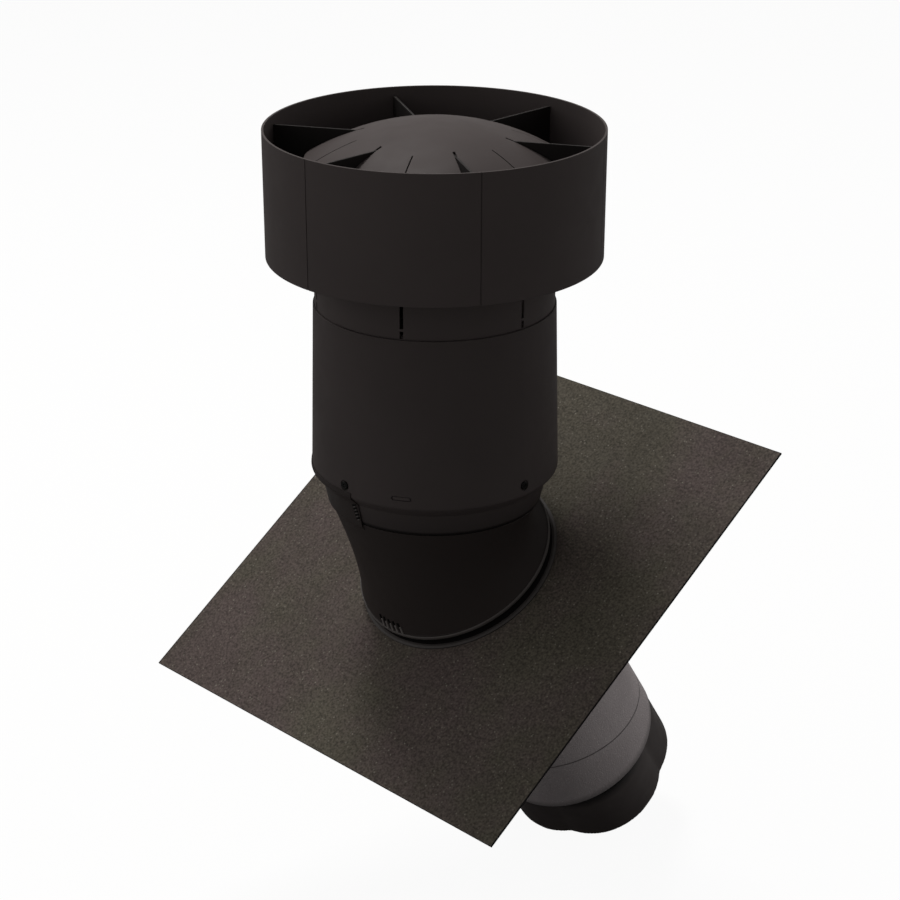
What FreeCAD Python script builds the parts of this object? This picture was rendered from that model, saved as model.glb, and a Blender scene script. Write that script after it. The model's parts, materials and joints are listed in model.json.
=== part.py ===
import FreeCAD, Part
import math
import os
import re
import Sketcher

# Roof vent pipe on a square flashing. X runs along the eaves, Y up the slope, Z up.
# The origin is the middle of the flashing's underside.
# Two working frames are used. The slope frame turns about X by the roof pitch.
# The upright frame stands on the pivot, where the pipe's axis meets the flashing's normal.

sizes = {
    "roof_pitch": 33.0,
    "pivot_height": 65.8,
    "running_gap": 0.3,
    "plate_side": 500.0,
    "plate_thickness": 1.5,
    "pipe_radius": 99.0,
    "pipe_top": 8.0,
    "foam_wall": 16.0,
    "foam_round": 5.0,
    "duct_wall": 1.5,
    "flange_land": 3.5,
    "flange_thickness": 2.2,
    "flange_upstand": 14.0,
    "flange_wall": 1.5,
    "seal_foot": 3.0,
    "rim_space": 7.0,
    "rim_step": 1.4,
    "rim_edge": 0.4,
    "rim_start": 13.0,
    "rim_band": 5.0,
    "hood_wall": 2.0,
    "hood_spigot": 22.0,
    "waist_rise": 10.0,
    "waist_inset": 6.0,
    "waist_shift": 6.5,
    "lap_angle": 96.0,
    "lap_edge_angle": 4.0,
    "lap_thickness": 0.8,
    "lap_edge": 0.4,
    "lap_rise": 4.8,
    "lap_skirt": 9.0,
    "skirt_space": 8.7,
    "skirt_bottom": 39.7,
    "skirt_gap": 1.2,
    "skirt_height": 22.5,
    "skirt_flare": 5.5,
    "shoulder_height": 11.0,
    "casing_wall": 2.0,
    "casing_space": 20.6,
    "casing_flare": 4.5,
    "casing_height": 170.8,
    "casing_round": 3.5,
    "screw_rise": 10.4,
    "screw_count": 4,
    "screw_head_radius": 4.2,
    "screw_head_height": 1.6,
    "screw_radius": 2.1,
    "screw_length": 5.0,
    "recess_radius": 5.6,
    "recess_depth": 1.2,
    "slot_length": 20.0,
    "slot_width": 4.4,
    "slot_angle": 30.0,
    "spacer_web": 3.0,
    "spacer_rim": 2.2,
    "base_spacer_height": 20.0,
    "top_spacer_height": 18.0,
    "insulation_drop": 8.0,
    "duct_proud": 8.0,
    "bend_radius": 150.0,
    "bend_straight": 12.0,
    "bend_spigot": 30.0,
    "collar_step": 1.6,
    "collar_wall": 2.0,
    "collar_seam": 0.8,
    "collar_spigot": 12.0,
    "collar_height": 86.0,
    "slit_count": 6,
    "slit_width": 3.5,
    "slit_bridge": 2.5,
    "slit_foot": 7.5,
    "slit_top": 40.0,
    "ring_space": 38.8,
    "ring_wall": 2.2,
    "ring_rise": 49.5,
    "ring_height": 124.4,
    "groove_width": 1.0,
    "groove_depth": 0.7,
    "fin_count": 6,
    "fin_thickness": 2.0,
    "fin_inner": 70.0,
    "fin_inset": 6.5,
    "fin_heel": 39.0,
    "dome_overhang": 7.5,
    "dome_rise": 35.5,
    "dome_proud": 4.0,
    "dome_wall": 2.0,
    "dome_slit": 1.2,
    "dome_slit_inset": 6.0,
    "hub_wall": 3.6,
    "hub_height": 36.0,
    "seam_depth": 275.5,
    "seam_tilt": 15.0,
    "swivel_length": 62.0,
    "swivel_ring_inset": 6.0,
    "swivel_ring_wall": 3.5,
    "swivel_ring_width": 12.0,
    "gasket_thickness": 2.0,
    "gasket_inset": 4.0,
    "spigot_inset": 38.0,
    "spigot_recess": 6.0,
    "sleeve_length": 72.0,
    "sleeve_lobes": 4,
    "lobe_inset": 27.6,
    "lobe_offset": 26.2,
    "sleeve_turn": 65.5,
}

# Heights and radii that follow from the sizes.
derived = {
    "bore_radius": "pipe_radius - foam_wall",
    "duct_radius": "bore_radius - running_gap",
    "rim_radius": "pipe_radius + rim_space",
    "hood_foot_radius": "rim_radius - rim_step",
    "flange_radius": "rim_radius + flange_land",
    "skirt_radius": "pipe_radius + skirt_space",
    "casing_top_radius": "pipe_radius + casing_space",
    "casing_foot_radius": "casing_top_radius + casing_flare",
    "wall_slope": "casing_flare / casing_height",
    "collar_radius": "casing_top_radius - collar_step",
    "dome_radius": "collar_radius + dome_overhang",
    "ring_radius": "dome_radius + ring_space",
    "ring_inner": "ring_radius - ring_wall",
    "dome_slit_start": "fin_inner + dome_slit_inset",
    "swivel_ring_radius": "pipe_radius - swivel_ring_inset",
    "lobe_radius": "pipe_radius - lobe_inset",
    "hood_seam": "skirt_bottom - skirt_gap",
    "hood_spigot_radius": "skirt_radius - casing_wall - running_gap",
    "ledge_top": "hood_seam + hood_spigot",
    "skirt_top": "skirt_bottom + skirt_height",
    "skirt_top_radius": "skirt_radius + skirt_flare",
    "casing_foot": "skirt_top + shoulder_height",
    "casing_top": "casing_foot + casing_height",
    "screw_height": "casing_foot + screw_rise",
    "screw_seat": "casing_foot_radius - screw_rise * wall_slope - recess_depth + running_gap",
    "screw_end": "screw_seat - screw_length",
    "screw_hole_radius": "screw_radius + running_gap",
    "insulation_top": "casing_top - insulation_drop",
    "duct_top": "casing_top + duct_proud",
    "collar_top": "casing_top + collar_height",
    "ring_bottom": "casing_top + ring_rise",
    "ring_top": "ring_bottom + ring_height",
    "fin_bottom": "ring_bottom + fin_inset",
    "dome_apex": "ring_top + dome_proud",
    "dome_ball": "(dome_radius * dome_radius + dome_rise * dome_rise) / (2 * dome_rise)",
    "dome_hollow": "dome_ball - dome_wall",
    "dome_reach": "sqrt(dome_hollow * dome_hollow - fin_inner * fin_inner)",
    "fin_top": "dome_apex - dome_ball + dome_reach - running_gap",
    "bend_tangent": "bend_radius * tan(roof_pitch / 2)",
    "bend_top": "bend_tangent + bend_straight",
    "swivel_end": "seam_depth + swivel_length",
    "gasket_foot": "swivel_end + gasket_thickness",
    "sleeve_foot": "gasket_foot + sleeve_length",
}

doc = FreeCAD.newDocument("RoofVentPipe")
sheet = doc.addObject("Spreadsheet::Sheet", "Sizes")
for row, (alias, number) in enumerate(sizes.items(), start=1):
    sheet.set(f"A{row}", alias.replace("_", " "))
    sheet.set(f"B{row}", str(number))
    sheet.setAlias(f"B{row}", alias)
doc.recompute()


def bound(text):
    # Turns size names in a formula into references to the sheet, and derived names into their formulas.
    def spelled(word):
        name = word[0]
        if name in derived:
            return f"({bound(derived[name])})"
        return f"Sizes.{name}" if name in sizes else name

    return re.sub(r"[a-z_]{2,}", spelled, str(text))


def worth(text):
    # The present value of a formula, in millimetres or degrees.
    result = sheet.evalExpression(bound(text))
    return float(getattr(result, "Value", result))


def tie(item, path, text):
    item.setExpression(path, bound(text))


def datum(body, role):
    # One of the body's own origin planes or axes.
    return next(item for item in body.Origin.OriginFeatures if item.Role == role)


def sketch_on(body, name, role):
    sketch = body.newObject("Sketcher::SketchObject", name)
    sketch.AttachmentSupport = (datum(body, role), [""])
    sketch.MapMode = "FlatFace"
    return sketch


def pin_point(sketch, edge, end, label, across, up):
    # Holds one point of a sketch at formulas for its two coordinates.
    for kind, text, axis in (("DistanceX", across, -2), ("DistanceY", up, -1)):
        if str(text) == "0":
            sketch.addConstraint(Sketcher.Constraint("PointOnObject", edge, end, axis))
            continue
        index = sketch.addConstraint(Sketcher.Constraint(kind, -1, 1, edge, end, worth(text)))
        sketch.renameConstraint(index, f"{label}{kind[-1].lower()}")
        tie(sketch, f"Constraints.{label}{kind[-1].lower()}", text)


def outline(body, name, role, corners):
    # A closed polygon whose corners are pairs of formulas.
    sketch = sketch_on(body, name, role)
    spots = [FreeCAD.Vector(worth(across), worth(up), 0) for across, up in corners]
    count = len(spots)
    for index in range(count):
        sketch.addGeometry(Part.LineSegment(spots[index], spots[(index + 1) % count]), False)
    for index in range(count):
        sketch.addConstraint(Sketcher.Constraint("Coincident", index, 2, (index + 1) % count, 1))
    for index, (across, up) in enumerate(corners):
        pin_point(sketch, index, 1, f"p{index}", across, up)
    return sketch


def circles(body, name, role, radii, across="0", up="0"):
    # Circles about one centre.
    sketch = sketch_on(body, name, role)
    middle = FreeCAD.Vector(worth(across), worth(up), 0)
    for index, radius in enumerate(radii):
        sketch.addGeometry(Part.Circle(middle, FreeCAD.Vector(0, 0, 1), worth(radius)), False)
        pin_point(sketch, index, 3, f"c{index}", across, up)
        number = sketch.addConstraint(Sketcher.Constraint("Radius", index, worth(radius)))
        sketch.renameConstraint(number, f"radius{index}")
        tie(sketch, f"Constraints.radius{index}", radius)
    return sketch


def new_body(name):
    body = doc.addObject("PartDesign::Body", name)
    body.Label = name
    return body


def turned(body, name, corners, angle="360"):
    # A polygon in the XZ plane turned about Z.
    sketch = outline(body, name + "Profile", "XZ_Plane", corners)
    feature = body.newObject("PartDesign::Revolution", name)
    feature.Profile = sketch
    feature.ReferenceAxis = (sketch, ["V_Axis"])
    tie(feature, "Angle", angle)
    doc.recompute()
    return feature


def padded(body, name, sketch, length, midplane=False, reverse=False):
    feature = body.newObject("PartDesign::Pad", name)
    feature.Profile = sketch
    feature.Midplane = midplane
    feature.Reversed = reverse
    tie(feature, "Length", length)
    doc.recompute()
    return feature


def pocketed(body, name, sketch, length, midplane=False, reverse=False):
    feature = body.newObject("PartDesign::Pocket", name)
    feature.Profile = sketch
    feature.Midplane = midplane
    feature.Reversed = reverse
    tie(feature, "Length", length)
    doc.recompute()
    return feature


def repeated(body, name, features, count):
    # The same cuts or pads at even steps about Z.
    pattern = body.newObject("PartDesign::PolarPattern", name)
    pattern.Originals = features
    pattern.Axis = (datum(body, "Z_Axis"), [""])
    pattern.Angle = 360
    tie(pattern, "Occurrences", count)
    body.Tip = pattern
    doc.recompute()
    return pattern


def round_circles(body, name, height, radii, radius):
    # Rounds the full circles that lie at one height with the given radii.
    names = []
    base = body.Tip
    for number, edge in enumerate(base.Shape.Edges, start=1):
        if not isinstance(edge.Curve, Part.Circle):
            continue
        if abs(edge.Curve.Center.z - worth(height)) > 0.01:
            continue
        if any(abs(edge.Curve.Radius - worth(size)) < 0.01 for size in radii):
            names.append(f"Edge{number}")
    feature = body.newObject("PartDesign::Fillet", name)
    feature.Base = (base, names)
    tie(feature, "Radius", radius)
    doc.recompute()
    return feature


def stand_upright(item, turn=None):
    # Moves a piece from the upright frame to its place, turned about the pipe by an angle.
    item.Placement = FreeCAD.Placement(FreeCAD.Vector(), FreeCAD.Rotation(FreeCAD.Vector(0, 0, 1), 1))
    tie(item, "Placement.Base.y", "-pivot_height * sin(roof_pitch)")
    tie(item, "Placement.Base.z", "pivot_height * cos(roof_pitch)")
    tie(item, "Placement.Rotation.Angle", "0" if turn is None else turn)


def lay_on_slope(item):
    item.Placement = FreeCAD.Placement(FreeCAD.Vector(), FreeCAD.Rotation(FreeCAD.Vector(1, 0, 0), 1))
    tie(item, "Placement.Rotation.Angle", "roof_pitch")


def tube_corners(outer, inner, low, high):
    return [(inner, low), (outer, low), (outer, high), (inner, high)]


def casing_radius_at(height):
    return f"casing_foot_radius - ({height} - casing_foot) * wall_slope"


# Head: the wind ring, its fins, the dome and the collar
def make_wind_ring():
    body = new_body("wind_ring")
    turned(body, "RingWall", tube_corners("ring_radius", "ring_inner", "ring_bottom", "ring_top"))
    mark = outline(body, "SeamMark", "XY_Plane", [
        ("-groove_width / 2", "-ring_radius - groove_depth"),
        ("groove_width / 2", "-ring_radius - groove_depth"),
        ("groove_width / 2", "-ring_radius + groove_depth"),
        ("-groove_width / 2", "-ring_radius + groove_depth")])
    groove = pocketed(body, "SeamGroove", mark, "ring_top", reverse=True)
    repeated(body, "SeamGrooves", [groove], "fin_count")
    stand_upright(body)
    return body


def make_fin(number):
    body = new_body(f"fin_{number}")
    ring_side = "ring_inner - running_gap"
    collar_side = "collar_radius + running_gap"
    face = outline(body, f"FinFace{number}", "XZ_Plane", [
        ("fin_inner", "fin_top"),
        ("fin_inner", "fin_top - fin_heel"),
        ("collar_radius - collar_wall - fin_thickness", "collar_top + running_gap"),
        (collar_side, "collar_top + running_gap"),
        (collar_side, "fin_bottom"),
        (ring_side, "fin_bottom"),
        (ring_side, "fin_top")])
    padded(body, f"FinPlate{number}", face, "fin_thickness", midplane=True)
    stand_upright(body, f"{number - 1} * 360 / fin_count - 90")
    return body


def make_rain_dome():
    # A spherical cap, cut for the fins and slit between them.
    body = new_body("rain_dome")
    middle = "dome_apex - dome_ball"
    edge = "dome_apex - dome_rise"
    depth = "(dome_ball - dome_rise)"
    inner_edge = f"sqrt(dome_hollow * dome_hollow - {depth} * {depth})"
    sketch = sketch_on(body, "DomeProfile", "XZ_Plane")
    centre = FreeCAD.Vector(0, worth(middle), 0)
    start = math.atan2(worth(depth), worth("dome_radius"))
    inner_start = math.atan2(worth(depth), worth(inner_edge))
    outer_circle = Part.Circle(centre, FreeCAD.Vector(0, 0, 1), worth("dome_ball"))
    inner_circle = Part.Circle(centre, FreeCAD.Vector(0, 0, 1), worth("dome_hollow"))
    spots = [FreeCAD.Vector(worth("dome_radius"), worth(edge), 0),
             FreeCAD.Vector(worth(inner_edge), worth(edge), 0),
             FreeCAD.Vector(0, worth("dome_apex - dome_wall"), 0),
             FreeCAD.Vector(0, worth("dome_apex"), 0)]
    sketch.addGeometry(Part.ArcOfCircle(outer_circle, start, math.pi / 2), False)
    sketch.addGeometry(Part.ArcOfCircle(inner_circle, inner_start, math.pi / 2), False)
    sketch.addGeometry(Part.LineSegment(spots[1], spots[0]), False)
    sketch.addGeometry(Part.LineSegment(spots[3], spots[2]), False)
    for pair in ((0, 1, 2, 2), (1, 1, 2, 1), (0, 2, 3, 1), (1, 2, 3, 2), (0, 3, 1, 3)):
        sketch.addConstraint(Sketcher.Constraint("Coincident", *pair))
    sketch.addConstraint(Sketcher.Constraint("PointOnObject", 0, 3, -2))
    pin_point(sketch, 3, 1, "apex", "0", "dome_apex")
    pin_point(sketch, 2, 2, "edge", "dome_radius", edge)
    sketch.addConstraint(Sketcher.Constraint("Vertical", 3))
    sketch.addConstraint(Sketcher.Constraint("Horizontal", 2))
    wall = sketch.addConstraint(Sketcher.Constraint("Distance", 3, worth("dome_wall")))
    sketch.renameConstraint(wall, "wall")
    tie(sketch, "Constraints.wall", "dome_wall")
    shell = body.newObject("PartDesign::Revolution", "DomeShell")
    shell.Profile = sketch
    shell.ReferenceAxis = (sketch, ["V_Axis"])
    shell.Angle = 360
    doc.recompute()
    cuts = (("FinSlot", "fin_thickness / 2 + running_gap", "fin_inner - 2 * running_gap", "fin_count", 0),
            ("DomeSlit", "dome_slit / 2", "dome_slit_start", "fin_count", 1))
    for name, half, start_radius, count, across_x in cuts:
        corners = [(start_radius, f"-({half})"), ("dome_radius * 1.1", f"-({half})"),
                   ("dome_radius * 1.1", half), (start_radius, half)]
        if not across_x:
            corners = [(up, f"-({across})") for across, up in corners]
        plan = outline(body, name + "Plan", "XY_Plane", corners)
        cut = pocketed(body, name, plan, "dome_apex", reverse=True)
        repeated(body, name + "s", [cut], count)
    stand_upright(body)
    return body


def make_dome_hub():
    body = new_body("dome_hub")
    outer = "fin_inner - running_gap"
    turned(body, "HubWall", tube_corners(outer, f"{outer} - hub_wall", "fin_top - hub_height", "fin_top"))
    stand_upright(body)
    return body


def make_outlet_collar():
    body = new_body("outlet_collar")
    foot = "casing_top + collar_seam"
    bore = "collar_radius - collar_wall"
    spigot = "casing_top_radius - casing_wall - running_gap"
    turned(body, "CollarWall", [
        (f"{spigot} - collar_wall", "casing_top - collar_spigot"),
        (spigot, "casing_top - collar_spigot"),
        (spigot, foot),
        ("collar_radius", foot),
        ("collar_radius", "collar_top"),
        (bore, "collar_top"),
        (bore, f"{foot} + collar_wall"),
        (f"{spigot} - collar_wall", f"{foot} + collar_wall")])
    bridge = f"{foot} + slit_foot"
    windows = (("SlitFoot", foot, bridge), ("SlitTop", f"{bridge} + slit_bridge", f"{foot} + slit_top"))
    for name, low, high in windows:
        plan = outline(body, name + "Plan", "YZ_Plane", [
            ("-slit_width / 2", low), ("slit_width / 2", low),
            ("slit_width / 2", high), ("-slit_width / 2", high)])
        cut = pocketed(body, name, plan, "collar_radius + collar_wall", reverse=True)
        repeated(body, name + "s", [cut], "slit_count")
    stand_upright(body)
    return body


# Upright: the casing, what centres it, and the insulated duct inside
def make_outer_casing():
    body = new_body("outer_casing")
    inner_foot = "casing_foot_radius - casing_wall"
    turned(body, "CasingWall", [
        ("skirt_radius - casing_wall", "skirt_bottom"),
        ("skirt_radius", "skirt_bottom"),
        ("skirt_top_radius", "skirt_top"),
        ("casing_foot_radius", "casing_foot"),
        ("casing_top_radius", "casing_top"),
        ("casing_top_radius - casing_wall", "casing_top"),
        (inner_foot, "casing_foot + casing_wall / 2"),
        ("skirt_top_radius - casing_wall", "skirt_top + casing_wall / 2")])
    round_circles(body, "FootRound", "casing_foot", ["casing_foot_radius"], "casing_round")
    round_circles(body, "FootInnerRound", "casing_foot + casing_wall / 2", [inner_foot],
                  "casing_round - casing_wall")
    hole = circles(body, "ScrewHolePlan", "YZ_Plane", ["screw_hole_radius"], up="screw_height")
    cut = pocketed(body, "ScrewHole", hole, "casing_foot_radius * 1.1", reverse=True)
    repeated(body, "ScrewHoles", [cut], "screw_count")
    recess = circles(body, "RecessPlan", "YZ_Plane", ["recess_radius"], up="screw_height")
    tie(recess, "AttachmentOffset.Base.z", "screw_seat - running_gap")
    cut = pocketed(body, "ScrewRecess", recess, "recess_depth * 3", reverse=True)
    repeated(body, "ScrewRecesses", [cut], "screw_count")
    slot = body.newObject("PartDesign::Pocket", "WitnessSlot")
    plan = slot_plan(body)
    slot.Profile = plan
    slot.Reversed = True
    tie(slot, "Length", "casing_foot_radius * 1.1")
    doc.recompute()
    stand_upright(body)
    return body


def slot_plan(body):
    # A rounded slot, drawn on a plane turned to its place round the casing.
    sketch = sketch_on(body, "WitnessSlotPlan", "YZ_Plane")
    half = worth("slot_length - slot_width") / 2
    radius = worth("slot_width") / 2
    height = worth("screw_height")
    normal = FreeCAD.Vector(0, 0, 1)
    left = Part.Circle(FreeCAD.Vector(-half, height, 0), normal, radius)
    right = Part.Circle(FreeCAD.Vector(half, height, 0), normal, radius)
    sketch.addGeometry(Part.ArcOfCircle(left, math.pi / 2, 3 * math.pi / 2), False)
    sketch.addGeometry(Part.ArcOfCircle(right, -math.pi / 2, math.pi / 2), False)
    corner = [FreeCAD.Vector(side * half, height + end * radius, 0) for side, end in
              ((-1, -1), (1, -1), (1, 1), (-1, 1))]
    sketch.addGeometry(Part.LineSegment(corner[0], corner[1]), False)
    sketch.addGeometry(Part.LineSegment(corner[2], corner[3]), False)
    for pair in ((0, 2, 2, 1), (2, 2, 1, 1), (1, 2, 3, 1), (3, 2, 0, 1)):
        sketch.addConstraint(Sketcher.Constraint("Tangent", *pair))
    pin_point(sketch, 0, 3, "left", "-(slot_length - slot_width) / 2", "screw_height")
    pin_point(sketch, 1, 3, "right", "(slot_length - slot_width) / 2", "screw_height")
    size = sketch.addConstraint(Sketcher.Constraint("Radius", 0, radius))
    sketch.renameConstraint(size, "radius")
    tie(sketch, "Constraints.radius", "slot_width / 2")
    sketch.AttachmentOffset = FreeCAD.Placement(
        FreeCAD.Vector(), FreeCAD.Rotation(FreeCAD.Vector(0, 1, 0), 1))
    tie(sketch, "AttachmentOffset.Rotation.Angle", "slot_angle - 90")
    return sketch


def make_casing_screws():
    # Four identical screws, each in a shallow recess, through the casing into the lower spacer.
    screws = []
    for number in range(int(sizes["screw_count"])):
        parts = []
        reach = (("Head", "screw_head_radius", "screw_head_height", "screw_seat"),
                 ("Shank", "screw_radius", "screw_length", "screw_end"))
        for name, radius, length, start in reach:
            rod = doc.addObject("Part::Cylinder", f"Screw{name}{number}")
            tie(rod, "Radius", radius)
            tie(rod, "Height", length)
            rod.Placement.Rotation = FreeCAD.Rotation(FreeCAD.Vector(0, 1, 0), 90)
            tie(rod, "Placement.Base.x", start)
            tie(rod, "Placement.Base.z", "screw_height")
            parts.append(rod)
        screw = doc.addObject("Part::Fuse", f"Screw{number}")
        screw.Base, screw.Tool = parts
        screw.Placement = FreeCAD.Placement(FreeCAD.Vector(), FreeCAD.Rotation(FreeCAD.Vector(0, 0, 1), 1))
        tie(screw, "Placement.Rotation.Angle", f"{number} * 360 / screw_count")
        screws.append(screw)
    group = doc.addObject("Part::Compound", "casing_screws")
    group.Label = "casing_screws"
    group.Links = screws
    stand_upright(group)
    return group


def make_spacer(name, middle, height, screwed=False):
    # A ring of I section between the insulation and the casing.
    body = new_body(name)
    hub = "pipe_radius + running_gap"
    rim = f"{casing_radius_at(f'({middle} + {height} / 2)')} - casing_wall - running_gap"
    low = f"{middle} - {height} / 2"
    high = f"{middle} + {height} / 2"
    web_low = f"{middle} - spacer_web / 2"
    web_high = f"{middle} + spacer_web / 2"
    turned(body, name.title().replace("_", "") + "Section", [
        (hub, low), (f"{hub} + spacer_rim", low), (f"{hub} + spacer_rim", web_low),
        (f"{rim} - spacer_rim", web_low), (f"{rim} - spacer_rim", low), (rim, low),
        (rim, high), (f"{rim} - spacer_rim", high), (f"{rim} - spacer_rim", web_high),
        (f"{hub} + spacer_rim", web_high), (f"{hub} + spacer_rim", high), (hub, high)])
    if screwed:
        pilot = circles(body, "PilotPlan", "YZ_Plane", ["screw_hole_radius"], up="screw_height")
        tie(pilot, "AttachmentOffset.Base.z", "screw_end - running_gap")
        cut = pocketed(body, "PilotHole", pilot, "screw_length + casing_wall", reverse=True)
        repeated(body, "PilotHoles", [cut], "screw_count")
    stand_upright(body)
    return body


def make_upright_insulation():
    body = new_body("upright_insulation")
    turned(body, "UprightFoam", tube_corners(
        "pipe_radius", "bore_radius", "ledge_top + running_gap", "insulation_top"))
    stand_upright(body)
    return body


def make_upright_duct():
    body = new_body("upright_duct")
    turned(body, "UprightDuctWall", tube_corners(
        "duct_radius", "duct_radius - duct_wall", "bend_top", "duct_top"))
    stand_upright(body)
    return body


def make_duct_bend():
    # The duct turns from upright to square with the roof inside the hood.
    body = new_body("duct_bend")
    route = sketch_on(body, "BendRoute", "YZ_Plane")
    pitch = math.radians(worth("roof_pitch"))
    radius = worth("bend_radius")
    tangent = worth("bend_tangent")
    reach = worth("pivot_height - pipe_top + bend_spigot")
    spots = [FreeCAD.Vector(0, worth("bend_top"), 0), FreeCAD.Vector(0, tangent, 0),
             FreeCAD.Vector(math.sin(pitch) * tangent, -math.cos(pitch) * tangent, 0),
             FreeCAD.Vector(math.sin(pitch) * reach, -math.cos(pitch) * reach, 0)]
    elbow = Part.Circle(FreeCAD.Vector(radius, tangent, 0), FreeCAD.Vector(0, 0, 1), radius)
    route.addGeometry(Part.LineSegment(spots[0], spots[1]), False)
    route.addGeometry(Part.ArcOfCircle(elbow, math.pi, math.pi + pitch), False)
    route.addGeometry(Part.LineSegment(spots[2], spots[3]), False)
    route.addConstraint(Sketcher.Constraint("Tangent", 0, 2, 1, 1))
    route.addConstraint(Sketcher.Constraint("Tangent", 1, 2, 2, 1))
    pin_point(route, 0, 1, "top", "0", "bend_top")
    pin_point(route, 2, 2, "foot", "sin(roof_pitch) * (pivot_height - pipe_top + bend_spigot)",
              "-cos(roof_pitch) * (pivot_height - pipe_top + bend_spigot)")
    route.addConstraint(Sketcher.Constraint("Vertical", 0))
    size = route.addConstraint(Sketcher.Constraint("Radius", 1, radius))
    route.renameConstraint(size, "radius")
    tie(route, "Constraints.radius", "bend_radius")
    turn_in = route.addConstraint(Sketcher.Constraint("DistanceY", -1, 1, 0, 2, tangent))
    route.renameConstraint(turn_in, "tangent")
    tie(route, "Constraints.tangent", "bend_tangent")
    section = circles(body, "BendSection", "XY_Plane", ["duct_radius", "duct_radius - duct_wall"])
    tie(section, "AttachmentOffset.Base.z", "bend_top")
    doc.recompute()
    pipe = body.newObject("PartDesign::AdditivePipe", "BendPipe")
    pipe.Profile = section
    pipe.Spine = (route, ["Edge1", "Edge2", "Edge3"])
    doc.recompute()
    stand_upright(body)
    return body


# Hood: a shell lofted from the level skirt to the sloping rim, with a lap over the casing's foot
def tilt_sketch(sketch, height, rise="0", shift="0"):
    # Sets a sketch square with the roof at a height above the flashing's underside. Raised from
    # there, it levels out in step with its way to the hood's seam.
    sketch.AttachmentOffset = FreeCAD.Placement(
        FreeCAD.Vector(), FreeCAD.Rotation(FreeCAD.Vector(1, 0, 0), 1))
    foot = f"cos(roof_pitch) * ({height} - pivot_height)"
    tie(sketch, "AttachmentOffset.Rotation.Angle", f"roof_pitch * (1 - {rise} / (hood_seam - {foot}))")
    tie(sketch, "AttachmentOffset.Base.y", f"-sin(roof_pitch) * ({height} - pivot_height) - {shift}")
    tie(sketch, "AttachmentOffset.Base.z", f"{foot} + {rise}")


def raised(sketch, height):
    tie(sketch, "AttachmentOffset.Base.z", height)
    return sketch


def joined(kind, name, base, tool):
    # A join, cut or overlap of two pieces, with every face left as it comes.
    result = doc.addObject(kind, name)
    result.Base = base
    result.Tool = tool
    result.Refine = False
    doc.recompute()
    return result


def make_hood():
    shoulder = "hood_seam - hood_wall"
    lean = "-atan((rim_step - rim_edge) / rim_band)"
    solid = hood_form("HoodSolid", "hood_seam", "0", "rim_radius", lean)
    hollow = hood_form("HoodHollow", shoulder, "hood_wall", "hood_foot_radius - hood_wall", "0")
    for body, name, radius, length in (
            (solid, "Spigot", "hood_spigot_radius", "hood_spigot + hood_wall"),
            (hollow, "Throat", "hood_spigot_radius - hood_wall", "hood_spigot"),
            (hollow, "DuctPassage", "duct_radius + 2 * running_gap", "hood_spigot * 1.5")):
        padded(body, name, raised(circles(body, name + "Plan", "XY_Plane", [radius]), shoulder), length)
    outside = joined("Part::Fuse", "HoodOutside", solid, make_lap())
    hood = joined("Part::Cut", "hood", outside, hollow)
    stand_upright(hood)
    return hood


def hood_form(name, top, wall, rim, lean):
    # The hood's outside, or its hollow one wall further in: level above, square with the roof below,
    # and drawn in to a waist just over the rim.
    body = new_body(name)
    upper = raised(circles(body, name + "Top", "XY_Plane", [f"skirt_radius - {wall}"]), top)
    waist = circles(body, name + "Waist", "XY_Plane", [f"hood_foot_radius - waist_inset - {wall}"])
    tilt_sketch(waist, "rim_start + rim_band", "waist_rise", "waist_shift")
    lower = circles(body, name + "Foot", "XY_Plane", [f"hood_foot_radius - {wall}"])
    tilt_sketch(lower, "rim_start + rim_band")
    doc.recompute()
    loft = body.newObject("PartDesign::AdditiveLoft", name + "Loft")
    loft.Profile = upper
    loft.Sections = [waist, lower]
    doc.recompute()
    band = circles(body, name + "RimPlan", "XY_Plane", [rim])
    tilt_sketch(band, "rim_start")
    tie(padded(body, name + "Rim", band, "rim_band"), "TaperAngle", lean)
    doc.recompute()
    return body


def make_lap():
    # A quarter of the hood laps over the casing's foot and follows its rounded shoulder.
    lean = "atan((casing_foot_radius - skirt_top_radius) / (casing_foot - skirt_top))"
    neck = "atan(skirt_flare / skirt_height)"
    turn = f"tan({lean} / 2)"
    outer = "(running_gap + lap_thickness)"
    root = "skirt_radius - 2 * hood_wall"
    under = "hood_seam - hood_wall / 2"
    ring = new_body("LapRing")
    turned(ring, "LapWall", [
        (root, "hood_seam - lap_skirt"),
        (f"skirt_radius + {outer} / cos({neck})", "hood_seam - 2 * lap_thickness"),
        lap_corner(outer, neck, lean),
        (f"casing_foot_radius + {outer}", f"casing_foot - {outer} * {turn}"),
        ("casing_foot_radius + running_gap + lap_edge - lap_rise * wall_slope", "casing_foot + lap_rise"),
        ("casing_foot_radius + running_gap - lap_rise * wall_slope", "casing_foot + lap_rise"),
        ("casing_foot_radius + running_gap", f"casing_foot - running_gap * {turn}"),
        lap_corner("running_gap", neck, lean),
        (f"skirt_radius + running_gap / cos({neck})", under),
        (root, under)])
    for name, offset in (("LapOuterRound", outer), ("LapInnerRound", "running_gap")):
        round_circles(ring, name, f"casing_foot - {offset} * {turn}",
                      [f"casing_foot_radius + {offset}"], f"casing_round + {offset}")
    sector = doc.addObject("Part::Cylinder", "LapSector")
    tie(sector, "Radius", "casing_foot_radius * 1.2")
    tie(sector, "Height", "casing_foot * 2")
    tie(sector, "Angle", "lap_angle")
    sector.Placement = FreeCAD.Placement(FreeCAD.Vector(), FreeCAD.Rotation(FreeCAD.Vector(0, 0, 1), 1))
    tie(sector, "Placement.Rotation.Angle", "lap_edge_angle - lap_angle - 90")
    return joined("Part::Common", "HoodLap", ring, sector)


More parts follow.
